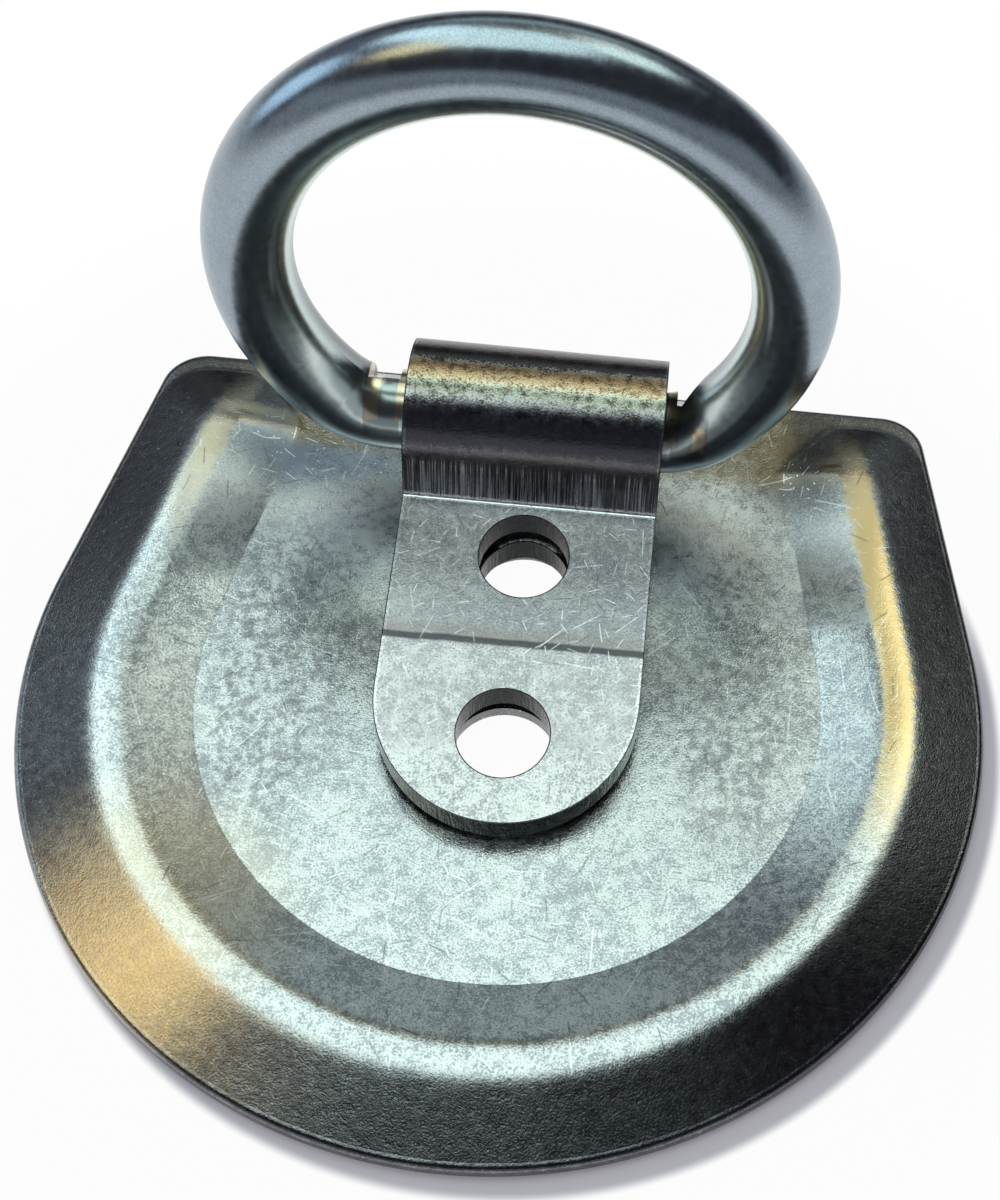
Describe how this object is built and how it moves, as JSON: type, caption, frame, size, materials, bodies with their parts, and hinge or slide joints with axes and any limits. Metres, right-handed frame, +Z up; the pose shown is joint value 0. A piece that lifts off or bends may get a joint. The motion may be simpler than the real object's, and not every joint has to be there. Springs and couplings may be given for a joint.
{
  "type": "floor tie-down anchor",
  "caption": "Pressed steel floor plate with a folded bolt-down strap that holds a hinged round-bar lashing ring",
  "frame": {"origin": "on the floor, in the centre of the plate's round side", "axes": "+Z up from the floor, +Y towards the straight edge where the ring is hinged, X along the hinge"},
  "size_m": [0.102, 0.0927, 0.0654],
  "materials": {
    "base_plate": "zinc plated, mottled",
    "strap": "zinc plated, scratched",
    "ring": "zinc plated, smooth"
  },
  "bodies": {
    "base": {"base_plate": "base_plate", "strap": "strap"},
    "ring": {"ring": "ring"}
  },
  "joints": [
    {"name": "ring_hinge", "type": "hinge", "parent": "base", "child": "ring", "pos_m": [0, 0.027, 0.013], "axis": [1, 0, 0], "range_deg": [-98, 97]}
  ]
}
